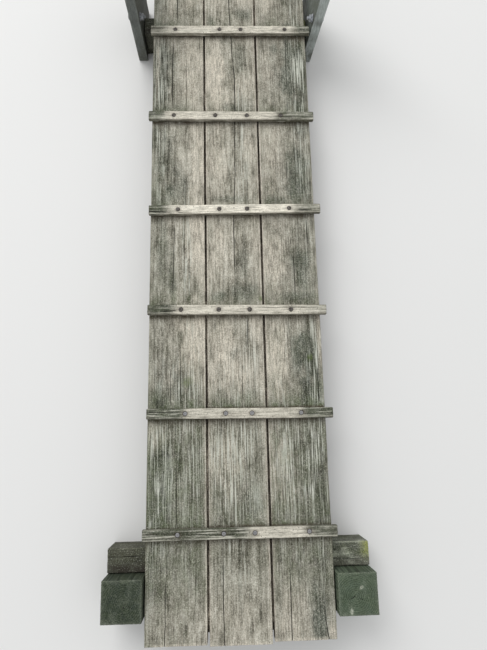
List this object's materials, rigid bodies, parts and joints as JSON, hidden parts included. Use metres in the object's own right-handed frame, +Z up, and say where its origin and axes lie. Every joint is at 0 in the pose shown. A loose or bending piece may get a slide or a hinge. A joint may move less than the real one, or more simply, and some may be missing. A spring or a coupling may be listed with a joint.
{
  "type": "wooden footbridge",
  "caption": "Short plank footbridge on two sills, with screwed cross battens, short posts at one end and upright side boards at the other.",
  "frame": {"origin": "on the ground, under the middle of the bridge's length and width", "axes": "+Y along the bridge from the end with the short posts to the end with the side boards, +X to the right when walking that way, +Z up"},
  "size_m": [0.656, 1.924, 0.427],
  "materials": {
    "deck_timber": "weathered, grey-brown with algae",
    "batten_timber": "weathered, worn pale on top",
    "green_timber": "old green stain with moss",
    "side_board_timber": "old grey-green paint",
    "screw_metal": "dull, stained",
    "bolt_metal": "galvanised, dull"
  },
  "bodies": {
    "root": {"left_plank": "deck_timber", "middle_plank": "deck_timber", "right_plank": "deck_timber", "batten_1": "batten_timber", "batten_2": "batten_timber", "batten_3": "batten_timber", "batten_4": "batten_timber", "batten_5": "batten_timber", "batten_6": "batten_timber", "batten_screws_1": "screw_metal", "batten_screws_2": "screw_metal", "batten_screws_3": "screw_metal", "batten_screws_4": "screw_metal", "batten_screws_5": "screw_metal", "batten_screws_6": "screw_metal", "near_sill": "green_timber", "far_sill": "green_timber", "near_left_post": "green_timber", "near_right_post": "green_timber", "left_side_board": "side_board_timber", "right_side_board": "side_board_timber", "left_side_bolt": "bolt_metal", "right_side_bolt": "bolt_metal", "left_bolt_nut": "bolt_metal", "right_bolt_nut": "bolt_metal"}
  },
  "joints": []
}
